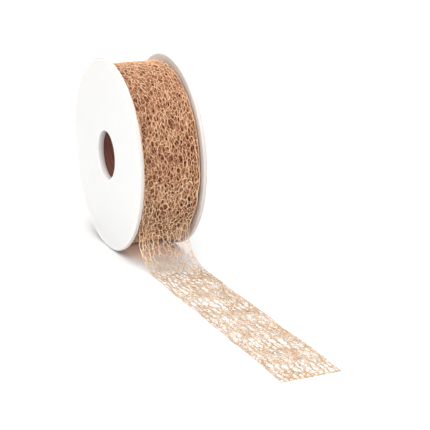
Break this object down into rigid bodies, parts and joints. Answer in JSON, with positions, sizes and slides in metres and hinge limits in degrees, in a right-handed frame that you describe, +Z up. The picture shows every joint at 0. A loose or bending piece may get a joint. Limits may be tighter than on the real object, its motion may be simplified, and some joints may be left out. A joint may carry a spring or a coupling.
{
  "type": "ribbon spool",
  "caption": "Gift ribbon spool: round white flanges on a card tube, wound with tan open web ribbon whose free end comes off the front and lies flat.",
  "frame": {"origin": "centre of the footprint at the table surface, under the middle of the spool and its laid-out ribbon end", "axes": "+X along the spool's axis towards the right flange, +Y from the ribbon's cut end towards the spool, +Z up"},
  "size_m": [0.044, 0.3008, 0.1249],
  "materials": {
    "flange_plastic": "satin white moulded polystyrene",
    "tube_card": "spiral-wound brown board",
    "tape_paper": "matt crepe paper tape",
    "ribbon_web": "open irregular web of fine synthetic threads, soft sheen"
  },
  "bodies": {
    "laid_ribbon": {"ribbon_tail": "ribbon_web"},
    "spool": {"left_flange": "flange_plastic", "right_flange": "flange_plastic", "core_tube": "tube_card", "starter_tape": "tape_paper", "ribbon_roll": "ribbon_web"}
  },
  "joints": [
    {"name": "spool_spin", "type": "hinge", "parent": "laid_ribbon", "child": "spool", "pos_m": [0, 0.08798, 0.06244], "axis": [1, 0, 0], "continuous": true}
  ]
}
